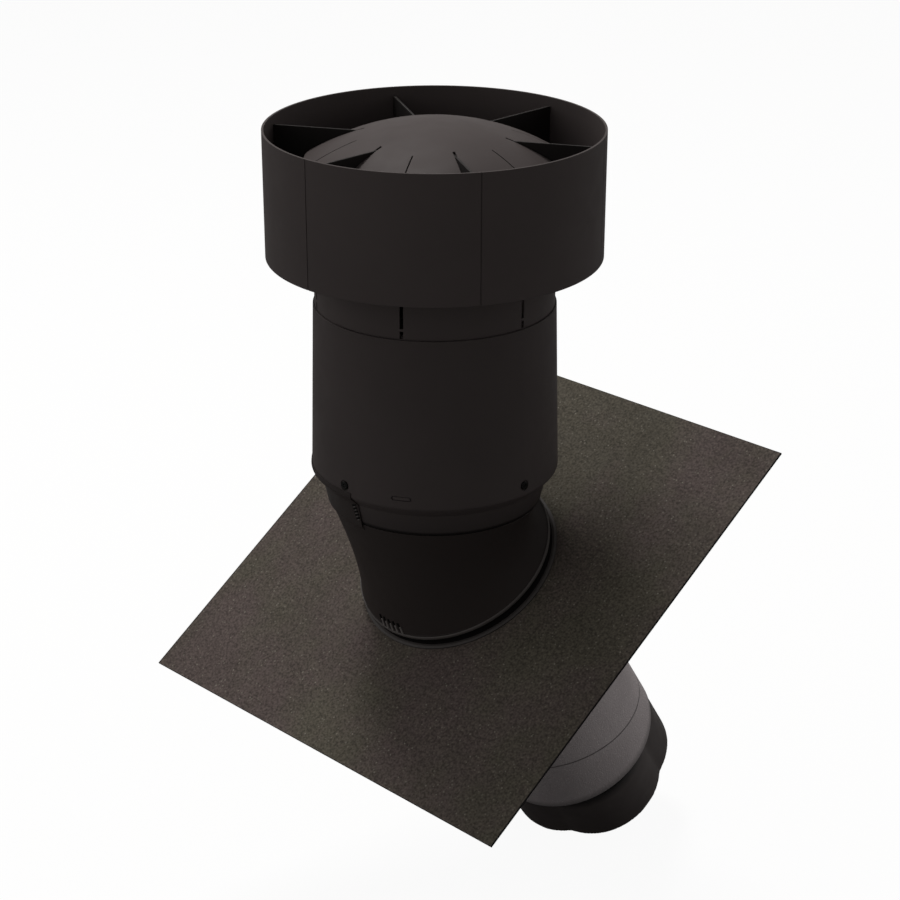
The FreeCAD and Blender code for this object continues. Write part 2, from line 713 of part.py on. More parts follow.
def lap_corner(offset, neck, lean):
    # A corner of the lap beside the casing's neck, the same offset away from both slopes.
    way = f"({offset} / cos(({lean} - {neck}) / 2))"
    middle = f"(({lean} + {neck}) / 2)"
    return f"skirt_top_radius + {way} * cos({middle})", f"skirt_top - {way} * sin({middle})"


def make_rim_seal():
    body = new_body("rim_seal")
    inner = "pipe_radius + 2 * running_gap + flange_wall"
    base = "plate_thickness + flange_thickness"
    turned(body, "SealSection", [
        (inner, base),
        ("rim_radius - hood_wall / 2", base),
        ("rim_radius - hood_wall", f"{base} + seal_foot"),
        ("rim_radius - hood_wall", "rim_start - running_gap"),
        (inner, "rim_start - running_gap")])
    lay_on_slope(body)
    return body


# Roof: the flashing, its flange and the insulated pipe that passes through
def make_flashing_plate():
    body = new_body("flashing_plate")
    half = "plate_side / 2"
    sheet_plan = outline(body, "PlatePlan", "XY_Plane", [
        (f"-{half}", f"-{half}"), (half, f"-{half}"), (half, half), (f"-{half}", half)])
    padded(body, "PlateSheet", sheet_plan, "plate_thickness")
    hole = circles(body, "PlateHolePlan", "XY_Plane", ["pipe_radius + running_gap"])
    pocketed(body, "PlateHole", hole, "plate_thickness", reverse=True)
    lay_on_slope(body)
    return body


def make_flange_ring():
    body = new_body("flange_ring")
    bore = "pipe_radius + running_gap"
    top = "plate_thickness + flange_thickness"
    turned(body, "FlangeSection", [
        (bore, "plate_thickness"),
        ("flange_radius", "plate_thickness"),
        ("flange_radius", f"{top} - flange_thickness / 2"),
        ("flange_radius - flange_thickness", top),
        (f"{bore} + flange_wall", top),
        (f"{bore} + flange_wall", "flange_upstand"),
        (bore, "flange_upstand")])
    lay_on_slope(body)
    return body


def seam_cut(body, name, low, high):
    # Cuts a pipe off square with the swivel's axis, between two heights on the pipe's own axis.
    reach = "pipe_radius * 1.2"
    rise = f"{reach} * tan(seam_tilt)"
    wedge = outline(body, name + "Plan", "YZ_Plane", [
        (f"-{reach}", f"{low[0]} + {low[1]} * {rise}"),
        (reach, f"{low[0]} - {low[1]} * {rise}"),
        (reach, f"{high[0]} - {high[1]} * {rise}"),
        (f"-{reach}", f"{high[0]} + {high[1]} * {rise}")])
    pocketed(body, name, wedge, "pipe_radius * 3", midplane=True)


def swivel_groove(name, base, inset):
    # The round groove in the seam faces, about the swivel's own axis.
    groove = doc.addObject("Part::Cut", name + "Groove")
    for side, size in (("Base", f"swivel_ring_radius + {inset}"),
                       ("Tool", f"swivel_ring_radius - swivel_ring_wall - {inset}")):
        rod = doc.addObject("Part::Cylinder", f"{name}Groove{side}")
        tie(rod, "Radius", size)
        tie(rod, "Height", f"swivel_ring_width + 2 * {inset}")
        tie(rod, "Placement.Base.z", f"-swivel_ring_width / 2 - {inset}")
        setattr(groove, side, rod)
    groove.Placement = FreeCAD.Placement(FreeCAD.Vector(), FreeCAD.Rotation(FreeCAD.Vector(-1, 0, 0), 1))
    tie(groove, "Placement.Rotation.Angle", "seam_tilt")
    tie(groove, "Placement.Base.z", "-seam_depth")
    doc.recompute()
    if base is None:
        return groove
    piece = doc.addObject("Part::Cut", name)
    piece.Label = name
    piece.Base = base
    piece.Tool = groove
    doc.recompute()
    return piece


def make_roof_pipe():
    blank = doc.addObject("PartDesign::Body", "RoofPipeBlank")
    turned(blank, "RoofPipeWall", tube_corners(
        "pipe_radius", "bore_radius", "-seam_depth - pipe_radius", "pipe_top"))
    seam_cut(blank, "RoofSeam", ("-seam_depth - pipe_radius * 1.6", 0), ("-seam_depth", 1))
    pipe = swivel_groove("roof_pipe", blank, "running_gap")
    lay_on_slope(pipe)
    return pipe


def make_swivel_ring():
    seat = doc.addObject("Part::Compound", "swivel_ring")
    seat.Links = [swivel_groove("SwivelRing", None, "0")]
    lay_on_slope(seat)
    return seat


def make_swivel_pipe():
    blank = doc.addObject("PartDesign::Body", "SwivelPipeBlank")
    turned(blank, "SwivelPipeWall", tube_corners(
        "pipe_radius", "bore_radius", "-swivel_end", "-seam_depth + pipe_radius"))
    round_circles(blank, "FoamRound", "-swivel_end", ["pipe_radius"], "foam_round")
    seam_cut(blank, "SwivelSeam", ("-seam_depth - running_gap", 1), ("-seam_depth + pipe_radius * 1.6", 0))
    pipe = swivel_groove("swivel_pipe", blank, "running_gap")
    lay_on_slope(pipe)
    return pipe


def make_joint_gasket():
    body = new_body("joint_gasket")
    turned(body, "GasketSection", tube_corners(
        "pipe_radius - gasket_inset", "bore_radius + running_gap", "-gasket_foot", "-swivel_end"))
    lay_on_slope(body)
    return body


def make_end_spigot():
    body = new_body("end_spigot")
    turned(body, "SpigotWall", tube_corners(
        "duct_radius", "duct_radius - duct_wall", "-sleeve_foot + spigot_recess",
        "-swivel_end + spigot_inset"))
    lay_on_slope(body)
    return body


def make_end_sleeve():
    # A soft cuff whose outside is a ring of equal round lobes.
    body = new_body("end_sleeve")
    lobe = circles(body, "LobePlan", "XY_Plane", ["lobe_radius"],
                   across="lobe_offset * cos(sleeve_turn)", up="lobe_offset * sin(sleeve_turn)")
    tie(lobe, "AttachmentOffset.Base.z", "-sleeve_foot")
    doc.recompute()
    bar = padded(body, "Lobe", lobe, "sleeve_length")
    repeated(body, "Lobes", [bar], "sleeve_lobes")
    bore = circles(body, "SleeveBorePlan", "XY_Plane", ["bore_radius"])
    tie(bore, "AttachmentOffset.Base.z", "-sleeve_foot")
    pocketed(body, "SleeveBore", bore, "sleeve_length", reverse=True)
    lay_on_slope(body)
    return body


pieces = [make_wind_ring()]
for fin_number in range(1, int(sizes["fin_count"]) + 1):
    pieces.append(make_fin(fin_number))
pieces += [
    make_rain_dome(), make_dome_hub(), make_outlet_collar(), make_outer_casing(), make_casing_screws(),
    make_spacer("base_spacer", "(casing_foot + casing_wall + base_spacer_height / 2)",
                "base_spacer_height", screwed=True),
    make_spacer("top_spacer", "(casing_top - collar_spigot - running_gap - top_spacer_height / 2)",
                "top_spacer_height"),
    make_upright_insulation(), make_upright_duct(), make_duct_bend(), make_hood(), make_rim_seal(),
    make_flashing_plate(), make_flange_ring(), make_roof_pipe(), make_swivel_ring(), make_swivel_pipe(),
    make_joint_gasket(), make_end_spigot(), make_end_sleeve()]

doc.recompute()
for item in doc.Objects:
    if "Invalid" in item.State or "Error" in item.State:
        raise RuntimeError(f"{item.Name} did not recompute: {item.State}")
os.makedirs("parts", exist_ok=True)
for piece in pieces:
    if piece.Shape.isNull() or not piece.Shape.isValid():
        raise RuntimeError(f"{piece.Label} has no valid shape")
    piece.Shape.exportStep(f"parts/{piece.Label}.step")
    print(f"{piece.Label}: {len(piece.Shape.Solids)} solid, {piece.Shape.Volume / 1000:.1f} cm3")
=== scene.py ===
import bmesh
import bpy
import json
import math
from mathutils import Matrix, Vector
from mathutils.bvhtree import BVHTree


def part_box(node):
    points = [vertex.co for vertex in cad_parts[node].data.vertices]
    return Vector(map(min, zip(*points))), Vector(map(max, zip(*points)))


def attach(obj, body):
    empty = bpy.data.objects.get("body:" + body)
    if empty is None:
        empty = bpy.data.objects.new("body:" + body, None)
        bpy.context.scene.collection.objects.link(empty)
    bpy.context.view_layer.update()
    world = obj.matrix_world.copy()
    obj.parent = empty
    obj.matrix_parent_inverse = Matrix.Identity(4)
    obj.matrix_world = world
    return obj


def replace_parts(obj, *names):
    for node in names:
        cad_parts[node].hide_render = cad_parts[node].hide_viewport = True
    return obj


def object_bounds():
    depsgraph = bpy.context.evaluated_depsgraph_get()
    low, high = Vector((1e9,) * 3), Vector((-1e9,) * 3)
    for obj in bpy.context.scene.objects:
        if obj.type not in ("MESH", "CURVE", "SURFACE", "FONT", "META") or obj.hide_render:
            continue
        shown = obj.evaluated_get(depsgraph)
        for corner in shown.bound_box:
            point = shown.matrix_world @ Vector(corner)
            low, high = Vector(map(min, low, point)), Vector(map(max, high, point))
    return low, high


# Roof vent pipe on its flashing. Metres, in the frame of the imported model:
# X along the eaves, Y up the slope, Z up, origin in the middle of the flashing's underside.

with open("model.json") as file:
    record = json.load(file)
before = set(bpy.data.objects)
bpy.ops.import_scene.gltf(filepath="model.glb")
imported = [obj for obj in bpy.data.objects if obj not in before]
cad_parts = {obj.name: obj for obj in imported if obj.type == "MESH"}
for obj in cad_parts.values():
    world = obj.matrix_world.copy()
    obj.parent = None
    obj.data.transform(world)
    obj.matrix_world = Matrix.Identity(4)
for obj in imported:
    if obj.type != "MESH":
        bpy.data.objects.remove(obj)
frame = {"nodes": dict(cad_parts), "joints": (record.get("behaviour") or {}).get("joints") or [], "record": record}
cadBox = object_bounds()
nodes = frame["nodes"]
print("frame loaded:", len(nodes), "nodes")

roofPitch = math.radians(33)
slopeTurn = Matrix.Rotation(roofPitch, 4, "X")
roofNormal = slopeTurn.to_3x3() @ Vector((0, 0, 1))
pivotHeight = 0.0658  # where the upright's axis crosses the roof's normal
pivot = slopeTurn @ Vector((0, 0, pivotHeight))


# Small helpers for node trees
def addNode(tree, kind, **settings):
    node = tree.nodes.new(kind)
    for name, value in settings.items():
        setattr(node, name, value)
    return node


def fill(node, **values):
    # sockets by name, with spaces written as underscores
    for name, value in values.items():
        node.inputs[name.replace("_", " ")].default_value = value
    return node


def startGroup(name, inputs, outputs):
    tree = bpy.data.node_groups.new(name, "ShaderNodeTree")
    for label, value in inputs.items():
        socket = tree.interface.new_socket(name=label, in_out="INPUT", socket_type="NodeSocketFloat")
        socket.default_value = value
    for label, kind in outputs.items():
        tree.interface.new_socket(name=label, in_out="OUTPUT", socket_type=kind)
    return tree, tree.nodes.new("NodeGroupInput"), tree.nodes.new("NodeGroupOutput")


def useGroup(tree, group, **values):
    node = tree.nodes.new("ShaderNodeGroup")
    node.node_tree = group
    return fill(node, **values)


def arithmetic(tree, operation, first, second):
    # each of the two is a socket or a number
    node = addNode(tree, "ShaderNodeMath", operation=operation)
    for index, value in enumerate((first, second)):
        if isinstance(value, (int, float)):
            node.inputs[index].default_value = value
        else:
            tree.links.new(value, node.inputs[index])
    return node.outputs[0]


def remap(tree, value, low, high, toLow, toHigh):
    node = fill(addNode(tree, "ShaderNodeMapRange"), From_Min=low, From_Max=high,
                To_Min=toLow, To_Max=toHigh)
    tree.links.new(value, node.inputs["Value"])
    return node.outputs["Result"]


def noiseOf(tree, place, scale, detail, roughness=0.5):
    node = fill(addNode(tree, "ShaderNodeTexNoise"), Detail=detail, Roughness=roughness)
    tree.links.new(place, node.inputs["Vector"])
    if isinstance(scale, (int, float)):
        node.inputs["Scale"].default_value = scale
    else:
        tree.links.new(scale, node.inputs["Scale"])
    return node.outputs["Fac"]


def mixColours(tree, mask, first, second, blend="MIX"):
    # each colour is a socket or three numbers
    node = addNode(tree, "ShaderNodeMix", data_type="RGBA", blend_type=blend)
    if isinstance(mask, (int, float)):
        node.inputs[0].default_value = mask
    else:
        tree.links.new(mask, node.inputs[0])
    for index, value in ((6, first), (7, second)):
        if isinstance(value, (tuple, list)):
            node.inputs[index].default_value = (*value, 1)
        else:
            tree.links.new(value, node.inputs[index])
    return node.outputs[2]


def measureAlong(tree, place, direction):
    # how far each point lies in a direction
    node = addNode(tree, "ShaderNodeVectorMath", operation="DOT_PRODUCT")
    node.inputs[1].default_value = direction
    tree.links.new(place, node.inputs[0])
    return node.outputs["Value"]


# Shared effects
noiseSpan = (0.3, 0.7)  # nearly all values of a noise lie between these two
# the edge mask below feeds an edge colour that is part wear and part painted edge light
edgeLean = {"samples": 4, "wearAndLightStarts": 0.98, "wearAndLightFull": 0.75}  # the last two are cosines


def makeSoftEdge(setting):
    # rounds sharp edges in the shading, and finds them by how far the normal leans, for wear and painted edge
    # light
    tree, start, end = startGroup("softEdge", {"Radius": 0.0008},
                                  {"Normal": "NodeSocketVector", "Wear And Light": "NodeSocketFloat"})
    bevel = addNode(tree, "ShaderNodeBevel", samples=setting["samples"])
    tree.links.new(start.outputs["Radius"], bevel.inputs["Radius"])
    surface = addNode(tree, "ShaderNodeNewGeometry")
    compare = addNode(tree, "ShaderNodeVectorMath", operation="DOT_PRODUCT")
    tree.links.new(bevel.outputs["Normal"], compare.inputs[0])
    tree.links.new(surface.outputs["Normal"], compare.inputs[1])
    tree.links.new(bevel.outputs["Normal"], end.inputs["Normal"])
    edgeWearAndLight = remap(tree, compare.outputs["Value"], setting["wearAndLightStarts"], setting["wearAndLightFull"], 0, 1)
    tree.links.new(edgeWearAndLight, end.inputs["Wear And Light"])
    return tree


skinNoise = {"patchDetail": 4, "glossScale": 38, "glossDetail": 3, "grainDetail": 2}


def makeMouldedSkin(setting):
    # slow changes of tone and gloss, and the fine grain of a moulding
    tree, start, end = startGroup(
        "mouldedSkin", {"Patch Scale": 9, "Patch Amount": 0.1, "Grain Scale": 1500},
        {"Tone": "NodeSocketFloat", "Gloss": "NodeSocketFloat", "Grain": "NodeSocketFloat"})
    place = addNode(tree, "ShaderNodeTexCoord").outputs["Object"]
    patches = noiseOf(tree, place, start.outputs["Patch Scale"], setting["patchDetail"])
    swing = remap(tree, patches, *noiseSpan, -1, 1)
    amount = arithmetic(tree, "MULTIPLY", swing, start.outputs["Patch Amount"])
    tree.links.new(arithmetic(tree, "ADD", amount, 1), end.inputs["Tone"])
    gloss = noiseOf(tree, place, setting["glossScale"], setting["glossDetail"])
    tree.links.new(remap(tree, gloss, *noiseSpan, -1, 1), end.inputs["Gloss"])
    grain = noiseOf(tree, place, start.outputs["Grain Scale"], setting["grainDetail"])
    tree.links.new(grain, end.inputs["Grain"])
    return tree


grainDot = {"rim": 0.45, "core": 0.15}  # distances from a grain's middle, in cells


def makeSpeckle(setting):
    # sparse pale grains of random size and brightness
    tree, start, end = startGroup("speckle", {"Scale": 600, "Share": 0.1},
                                  {"Grains": "NodeSocketFloat", "Height": "NodeSocketFloat"})
    place = addNode(tree, "ShaderNodeTexCoord").outputs["Object"]
    cells = addNode(tree, "ShaderNodeTexVoronoi")
    tree.links.new(place, cells.inputs["Vector"])
    tree.links.new(start.outputs["Scale"], cells.inputs["Scale"])
    pick = addNode(tree, "ShaderNodeSeparateColor")
    tree.links.new(cells.outputs["Color"], pick.inputs["Color"])
    chosen = arithmetic(tree, "LESS_THAN", pick.outputs["Red"], start.outputs["Share"])
    dot = remap(tree, cells.outputs["Distance"], setting["rim"], setting["core"], 0, 1)
    grains = arithmetic(tree, "MULTIPLY", arithmetic(tree, "MULTIPLY", chosen, dot), pick.outputs["Green"])
    tree.links.new(grains, end.inputs["Grains"])
    tree.links.new(dot, end.inputs["Height"])
    return tree


softEdge = makeSoftEdge(edgeLean)
mouldedSkin = makeMouldedSkin(skinNoise)
speckle = makeSpeckle(grainDot)
print("shared effects built")


# Materials
def startMaterial(name, look):
    material = bpy.data.materials.new(name)
    material.use_nodes = True
    tree = material.node_tree
    shader = fill(tree.nodes["Principled BSDF"], Metallic=look.get("metal", 0),
                  Specular_IOR_Level=look["specular"])
    return material, tree, shader


def finishSurface(tree, shader, look, colour, tone, glossShift, height):
    # the edges, grain and roughness that every finish here shares; the edge colour is part wear, part painted edge
    # light
    edge = useGroup(tree, softEdge, Radius=look["edgeRadius"])
    toned = mixColours(tree, 1.0, colour, tone, "MULTIPLY")
    # edge colour: part wear, part painted edge light, a highlight on most finishes and shade on the foam and the
    # sheet
    share = arithmetic(tree, "MULTIPLY", edge.outputs["Wear And Light"], look["edgeWearAndLight"])
    tree.links.new(mixColours(tree, share, toned, look["edgeWearAndLightColour"]), shader.inputs["Base Color"])
    swing = arithmetic(tree, "MULTIPLY", glossShift, look["roughnessSwing"])
    rough = arithmetic(tree, "ADD", swing, look["roughness"])
    tree.links.new(rough, shader.inputs["Roughness"])
    bump = fill(addNode(tree, "ShaderNodeBump"), Strength=look["grainStrength"], Distance=look["grainDepth"])
    tree.links.new(height, bump.inputs["Height"])
    tree.links.new(edge.outputs["Normal"], bump.inputs["Normal"])
    tree.links.new(bump.outputs["Normal"], shader.inputs["Normal"])


def shaded(tree, tone, look):
    # each shade takes the tone from one share to another, between two heights counted from a level
    height = measureAlong(tree, addNode(tree, "ShaderNodeTexCoord").outputs["Object"], look["upwards"])
    for low, high, toLow, toHigh in look["shades"]:
        shade = remap(tree, height, look["level"] + low, look["level"] + high, toLow, toHigh)
        tone = arithmetic(tree, "MULTIPLY", tone, shade)
    return tone


def mouldedMaterial(name, look):
    material, tree, shader = startMaterial(name, look)
    skin = useGroup(tree, mouldedSkin, Patch_Scale=look["patchScale"], Patch_Amount=look["patchAmount"],
                    Grain_Scale=look["grainScale"])
    tone = skin.outputs["Tone"]
    if "shades" in look:
        tone = shaded(tree, tone, look)
    finishSurface(tree, shader, look, look["colour"], tone, skin.outputs["Gloss"], skin.outputs["Grain"])
    return material


def reachOf(node):
    # where a node starts and where it ends along the roof's normal
    heights = [vert.co.dot(roofNormal) for vert in nodes[node].data.vertices]
    return min(heights), max(heights)


# the plastic that the head, the casing and the hood share, and the tone of the first two
plastic = {"specular": 0.1, "roughness": 0.6, "roughnessSwing": 0.05, "patchScale": 7, "patchAmount": 0.07,
           "grainScale": 1400, "grainStrength": 0.25, "grainDepth": 0.00006}
casingTone = {"colour": (0.058, 0.0485, 0.0475), "edgeWearAndLightColour": (0.085, 0.077, 0.074), "edgeWearAndLight": 0.4,
              "edgeRadius": 0.0007}
darkPlastic = mouldedMaterial("darkPlastic", {**plastic, **casingTone})
# the casing is dimmer round its foot, with a dark line where the hood meets it: both painted shade
casingPlastic = mouldedMaterial("casingPlastic", {
    **plastic, **casingTone, "upwards": (0, 0, 1), "level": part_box("outer_casing")[0].z,
    "shades": ((0, 0.024, 0.66, 0.9), (0.024, 0.03, 0.9, 1), (0.0008, 0.0035, 0.15, 1))})
# the fins: the head's plastic darkened as painted shade, with strong painted highlights on their edges
finPlastic = mouldedMaterial("finPlastic", {
    **plastic, "colour": (0.014, 0.012, 0.0115), "edgeWearAndLightColour": (0.20, 0.185, 0.18), "edgeWearAndLight": 0.8,
    "edgeRadius": 0.0005})
# the hood: the casing's plastic darkened as painted shade
hoodPlastic = mouldedMaterial("hoodPlastic", {
    **plastic, "colour": (0.0285, 0.0232, 0.022), "edgeWearAndLightColour": (0.06, 0.053, 0.05), "edgeWearAndLight": 0.5,
    "edgeRadius": 0.0008})
# lighter than the hood as a painted highlight on the tick bars
tickPlastic = mouldedMaterial("tickPlastic", {
    "colour": (0.13, 0.118, 0.113), "edgeWearAndLightColour": (0.19, 0.18, 0.17), "edgeWearAndLight": 0.5,
    "specular": 0.15, "roughness": 0.55, "roughnessSwing": 0.05, "edgeRadius": 0.0003,
    "patchScale": 60, "patchAmount": 0.1, "grainScale": 1800, "grainStrength": 0.2, "grainDepth": 0.00003})
# lighter than the hood as a painted highlight on the lip's bead and the lap's ridges
lipPlastic = mouldedMaterial("lipPlastic", {
    "colour": (0.075, 0.067, 0.064), "edgeWearAndLightColour": (0.11, 0.10, 0.097), "edgeWearAndLight": 0.4,
    "specular": 0.25, "roughness": 0.5, "roughnessSwing": 0.05, "edgeRadius": 0.0005,
    "patchScale": 20, "patchAmount": 0.1, "grainScale": 1400, "grainStrength": 0.2, "grainDepth": 0.00004})
# near-black strips standing for the shade in the tick grooves and lap notches: painted shade
shadeBlack = mouldedMaterial("shadeBlack", {
    "colour": (0.004, 0.004, 0.004), "edgeWearAndLightColour": (0.010, 0.010, 0.010), "edgeWearAndLight": 0.3,
    "specular": 0.05, "roughness": 0.8, "roughnessSwing": 0.05, "edgeRadius": 0.0002,
    "patchScale": 60, "patchAmount": 0.2, "grainScale": 1800, "grainStrength": 0.2, "grainDepth": 0.00002})
ductPlastic = mouldedMaterial("ductPlastic", {
    "colour": (0.030, 0.030, 0.031), "edgeWearAndLightColour": (0.06, 0.06, 0.06), "edgeWearAndLight": 0.3,
    "specular": 0.4, "roughness": 0.38, "roughnessSwing": 0.05, "edgeRadius": 0.0006,
    "patchScale": 12, "patchAmount": 0.08, "grainScale": 900, "grainStrength": 0.1, "grainDepth": 0.00004})
# the flange has a dark line of painted shade along its foot, and the cuff a band of painted shade where it meets
# the foam
flangePlastic = mouldedMaterial("flangePlastic", {
    "colour": (0.052, 0.046, 0.044), "edgeWearAndLightColour": (0.09, 0.082, 0.079), "edgeWearAndLight": 0.6,
    "upwards": roofNormal, "level": reachOf("flange_ring")[0], "shades": ((0.0004, 0.0014, 0.2, 1),),
    "specular": 0.2, "roughness": 0.5, "roughnessSwing": 0.06, "edgeRadius": 0.0006,
    "patchScale": 15, "patchAmount": 0.1, "grainScale": 1300, "grainStrength": 0.25, "grainDepth": 0.00006})
blackRubber = mouldedMaterial("blackRubber", {
    "colour": (0.042, 0.035, 0.034), "edgeWearAndLightColour": (0.06, 0.055, 0.053), "edgeWearAndLight": 0.25,
    "upwards": roofNormal, "level": reachOf("end_sleeve")[1], "shades": ((-0.013, -0.001, 1, 0.15),),
    "specular": 0.25, "roughness": 0.68, "roughnessSwing": 0.08, "edgeRadius": 0.0025,
    "patchScale": 16, "patchAmount": 0.1, "grainScale": 1000, "grainStrength": 0.35, "grainDepth": 0.00008})
# black rubber for the seals, made blacker than the cuff as painted shade in the gaps where they sit
sealBlack = mouldedMaterial("sealBlack", {
    "colour": (0.006, 0.005, 0.005), "edgeWearAndLightColour": (0.012, 0.011, 0.011), "edgeWearAndLight": 0.2,
    "specular": 0.05, "roughness": 0.8, "roughnessSwing": 0.08, "edgeRadius": 0.0006,
    "patchScale": 16, "patchAmount": 0.1, "grainScale": 1000, "grainStrength": 0.3, "grainDepth": 0.00005})
screwSteel = mouldedMaterial("screwSteel", {
    "colour": (0.004, 0.0037, 0.0037), "edgeWearAndLightColour": (0.12, 0.115, 0.11), "edgeWearAndLight": 0.7, "metal": 0.2,
    "specular": 0.12, "roughness": 0.42, "roughnessSwing": 0.08, "edgeRadius": 0.0003,
    "patchScale": 120, "patchAmount": 0.15, "grainScale": 3000, "grainStrength": 0.2, "grainDepth": 0.00003})

swivel = next(joint for joint in frame["joints"] if joint["name"] == "elbow_swivel")


def seamLine(tree, tone, look):
    # the foam is darkened in a thin line along the oblique seam, on both sides of it
    height = measureAlong(tree, addNode(tree, "ShaderNodeTexCoord").outputs["Object"], swivel["axis"])
    seam = Vector(swivel["pos_m"]).dot(Vector(swivel["axis"]))
    away = arithmetic(tree, "ABSOLUTE", arithmetic(tree, "SUBTRACT", height, seam), 0)
    line = remap(tree, away, look["seamDark"], look["seamClean"], look["seamTone"], 1)
    return arithmetic(tree, "MULTIPLY", tone, line)


def foamMaterial():
    # flecked grey foam with open pores, darker towards its lower end as painted shade
    look = {"colour": (0.285, 0.258, 0.262), "fleck": (0.50, 0.46, 0.45), "edgeWearAndLightColour": (0.05, 0.045, 0.045),
            "edgeWearAndLight": 0.8, "specular": 0.2, "roughness": 0.82, "roughnessSwing": 0.06, "edgeRadius": 0.0009,
            "upwards": roofNormal, "level": reachOf("swivel_pipe")[0], "shades": ((0, 0.014, 0.3, 1),),
            "seamDark": 0.0004, "seamClean": 0.0015, "seamTone": 0.4, "patchScale": 11, "patchAmount": 0.12,
            "grainScale": 430, "grainStrength": 0.8, "grainDepth": 0.0006, "fleckScale": 430,
            "fleckShare": 0.45, "fleckAmount": 0.55, "poreAmount": 0.5}
    material, tree, shader = startMaterial("greyFoam", look)
    skin = useGroup(tree, mouldedSkin, Patch_Scale=look["patchScale"], Patch_Amount=look["patchAmount"],
                    Grain_Scale=look["grainScale"])
    flecks = useGroup(tree, speckle, Scale=look["fleckScale"], Share=look["fleckShare"])
    strength = arithmetic(tree, "MULTIPLY", flecks.outputs["Grains"], look["fleckAmount"])
    colour = mixColours(tree, strength, look["colour"], look["fleck"])
    pores = arithmetic(tree, "MULTIPLY", flecks.outputs["Height"], look["poreAmount"])
    relief = arithmetic(tree, "ADD", skin.outputs["Grain"], pores)
    tone = seamLine(tree, shaded(tree, skin.outputs["Tone"], look), look)
    finishSurface(tree, shader, look, colour, tone, skin.outputs["Gloss"], relief)
    return material


def sheetMaterial():
    # the flashing: brown-grey granules, warmer and greener by patches, with pale and dark specks
    # and a dark rim of painted shade along its edges
    look = {"warm": (0.078, 0.0612, 0.0565), "green": (0.073, 0.0652, 0.0505), "hueScale": 8, "hueDetail": 5,
            "hueRoughness": 0.6, "hueSpan": (0.38, 0.58), "patchScale": 13, "patchAmount": 0.08,
            "granuleScale": 400, "granuleTones": (0.62, 1.38),
            "hollows": {"colour": (0.018, 0.016, 0.015), "scale": 360, "share": 0.2, "amount": 0.8},
            "specks": {"colour": (0.26, 0.24, 0.20), "scale": 360, "share": 0.16, "amount": 0.75},
            "rimShade": (0.008, 0.007, 0.007), "rimWidth": 0.0009, "rimFade": 1.3,
            "edgeWearAndLightColour": (0.03, 0.029, 0.028), "edgeWearAndLight": 0.3, "specular": 0.1, "roughness": 0.75,
            "roughnessSwing": 0.06, "edgeRadius": 0.0004, "grainStrength": 0.5, "grainDepth": 0.0002}
    material, tree, shader = startMaterial("speckledSheet", look)
    place = addNode(tree, "ShaderNodeTexCoord").outputs["Object"]
    skin = useGroup(tree, mouldedSkin, Patch_Scale=look["patchScale"], Patch_Amount=look["patchAmount"],
                    Grain_Scale=look["granuleScale"])
    hue = noiseOf(tree, place, look["hueScale"], look["hueDetail"], look["hueRoughness"])
    ground = mixColours(tree, remap(tree, hue, *look["hueSpan"], 0, 1), look["warm"], look["green"])
    granules = remap(tree, noiseOf(tree, place, look["granuleScale"], 1), *noiseSpan, *look["granuleTones"])
    ground = mixColours(tree, 1.0, ground, granules, "MULTIPLY")
    for spot in (look["hollows"], look["specks"]):
        grains = useGroup(tree, speckle, Scale=spot["scale"], Share=spot["share"]).outputs["Grains"]
        strength = arithmetic(tree, "MULTIPLY", grains, spot["amount"])
        ground = mixColours(tree, strength, ground, spot["colour"])
    low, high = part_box("flashing_plate")
    upSlope = measureAlong(tree, place, (0, math.cos(roofPitch), math.sin(roofPitch)))
    across = addNode(tree, "ShaderNodeSeparateXYZ")
    tree.links.new(place, across.inputs[0])
    halfRun = (high - low).yz.length / 2
    toSide = arithmetic(tree, "SUBTRACT", high.x, arithmetic(tree, "ABSOLUTE", across.outputs["X"], 0))
    toEnd = arithmetic(tree, "SUBTRACT", halfRun, arithmetic(tree, "ABSOLUTE", upSlope, 0))
    toRim = arithmetic(tree, "MINIMUM", toSide, toEnd)
    # a dark rim of painted shade along the sheet's edges
    rim = remap(tree, toRim, look["rimWidth"] * look["rimFade"], look["rimWidth"], 0, 1)
    colour = mixColours(tree, rim, ground, look["rimShade"])
    finishSurface(tree, shader, look, colour, skin.outputs["Tone"], skin.outputs["Gloss"],
                  skin.outputs["Grain"])
    return material


greyFoam = foamMaterial()
speckledSheet = sheetMaterial()
finishes = {"dark_plastic": darkPlastic, "duct_plastic": ductPlastic, "grey_foam": greyFoam,
            "black_rubber": blackRubber, "speckled_sheet": speckledSheet, "flange_plastic": flangePlastic,
            "screw_steel": screwSteel}
for part in frame["record"]["subparts"]:
    node = nodes[part["node"]]
    node.data.materials.clear()
    node.data.materials.append(finishes[part["material_slot"]])
# the hood and the fins are darkened below the casing as painted shade, and the seals are black rubber made blacker
# than the cuff as painted shade in their gaps
special = {"outer_casing": casingPlastic, "hood": hoodPlastic, "rim_seal": sealBlack,
           "joint_gasket": sealBlack}
for number in range(1, 7):
    special[f"fin_{number}"] = finPlastic
for name, material in special.items():
    nodes[name].data.materials[0] = material


# Small pieces on the casing and the hood, and the cuff
weld = 1e-6  # vertices closer than this are one


def skinOf(node):
    mesh = nodes[node].data
    return BVHTree.FromPolygons([v.co for v in mesh.vertices], [f.vertices for f in mesh.polygons])


def objectFrom(name, shape):
    mesh = bpy.data.meshes.new(name)
    shape.to_mesh(mesh)
    shape.free()
    made = bpy.data.objects.new(name, mesh)
    bpy.context.scene.collection.objects.link(made)
    return made


def finishedMesh(helper):
    # the mesh that an object's modifiers give
    bpy.context.view_layer.update()
    return bpy.data.meshes.new_from_object(helper.evaluated_get(bpy.context.evaluated_depsgraph_get()))


def keepPiece(name, shape, material, body):
    bmesh.ops.recalc_face_normals(shape, faces=shape.faces)
    piece = objectFrom(name, shape)
    piece.data.materials.append(material)
    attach(piece, body)
    return piece


